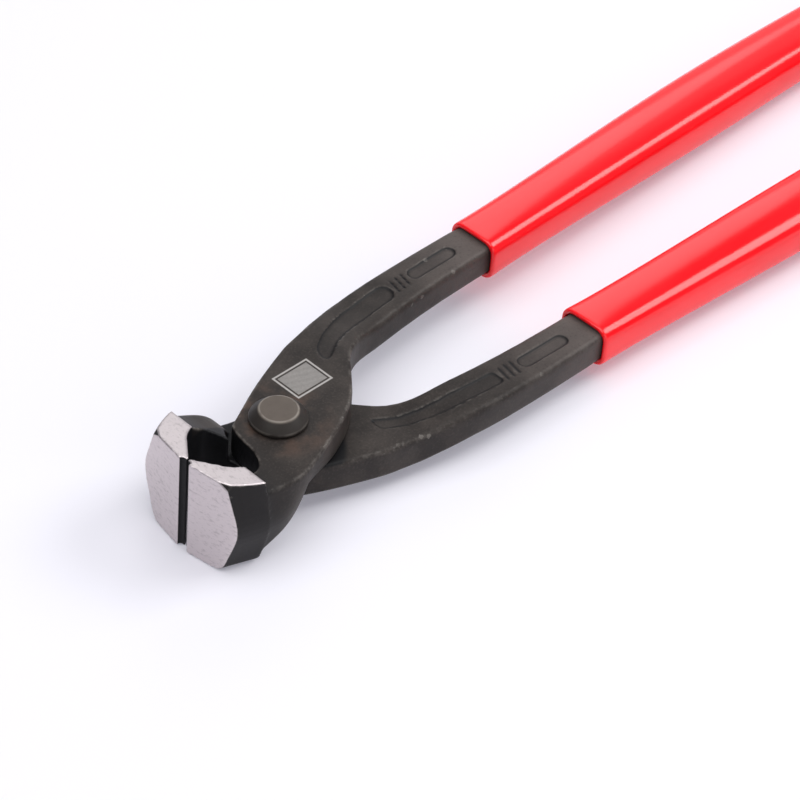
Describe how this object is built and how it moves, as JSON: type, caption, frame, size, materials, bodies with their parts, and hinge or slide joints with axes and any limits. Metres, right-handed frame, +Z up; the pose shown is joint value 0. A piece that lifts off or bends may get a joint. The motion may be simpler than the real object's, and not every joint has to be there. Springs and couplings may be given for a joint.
{
  "type": "concreters nippers",
  "caption": "Hand nippers for twisting and cutting tie wire: crossed forged levers on a rivet, a narrow end-cutting head and long dipped grips.",
  "frame": {"origin": "middle of the tool's length and width, at the level of the jaws' flat underside", "axes": "+X from the grips to the jaws, +Z up along the rivet's axis, +Y to the lower lever's handle"},
  "size_m": [0.28, 0.0602, 0.0247],
  "materials": {
    "forged_steel": "black oxide, ground bright on the jaws",
    "rivet_steel": "black oxide",
    "grip_vinyl": "glossy dipped vinyl"
  },
  "bodies": {
    "upper": {"upper_lever": "forged_steel", "pivot_rivet": "rivet_steel", "upper_grip": "grip_vinyl"},
    "lower": {"lower_lever": "forged_steel", "lower_grip": "grip_vinyl"}
  },
  "joints": [
    {"name": "rivet_hinge", "type": "hinge", "parent": "upper", "child": "lower", "pos_m": [0.1137, 0, 0.0126], "axis": [0, 0, -1], "range_deg": [0, 35]}
  ]
}
